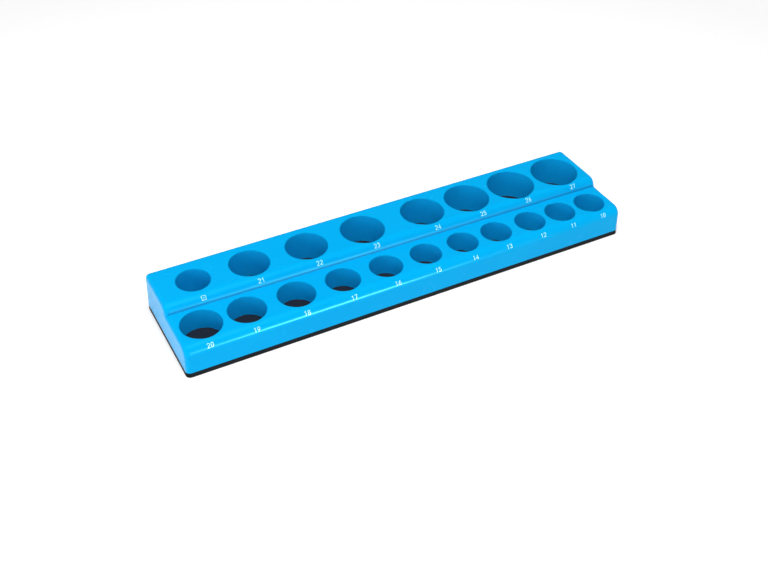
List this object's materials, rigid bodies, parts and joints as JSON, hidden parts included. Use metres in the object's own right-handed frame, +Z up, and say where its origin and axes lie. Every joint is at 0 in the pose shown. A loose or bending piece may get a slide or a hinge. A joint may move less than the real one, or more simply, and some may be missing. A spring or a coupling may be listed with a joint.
{
  "type": "magnetic socket tray",
  "caption": "Long two-level tray with two rows of round wells that hold sockets upright by size, on a black base with magnets under the wells.",
  "frame": {"origin": "middle of the underside, on the surface that the tray lies on", "axes": "+X along the rows to the end with the small front wells, +Y to the higher back row, +Z up out of the wells"},
  "size_m": [0.4218, 0.0982, 0.0375],
  "materials": {
    "blue_shell": "satin moulded ABS",
    "black_base": "fine moulded grain",
    "pad": "matt sheet",
    "magnet": "sintered ferrite, dull"
  },
  "bodies": {
    "root": {"tray_body": "blue_shell", "base_plate": "black_base", "anti_slip_pad": "pad", "magnet_20mm": "magnet", "magnet_19mm": "magnet", "magnet_18mm": "magnet", "magnet_17mm": "magnet", "magnet_16mm": "magnet", "magnet_15mm": "magnet", "magnet_14mm": "magnet", "magnet_13mm": "magnet", "magnet_12mm": "magnet", "magnet_11mm": "magnet", "magnet_10mm": "magnet", "magnet_adapter": "magnet", "magnet_21mm": "magnet", "magnet_22mm": "magnet", "magnet_23mm": "magnet", "magnet_24mm": "magnet", "magnet_25mm": "magnet", "magnet_26mm": "magnet", "magnet_27mm": "magnet"}
  },
  "joints": []
}
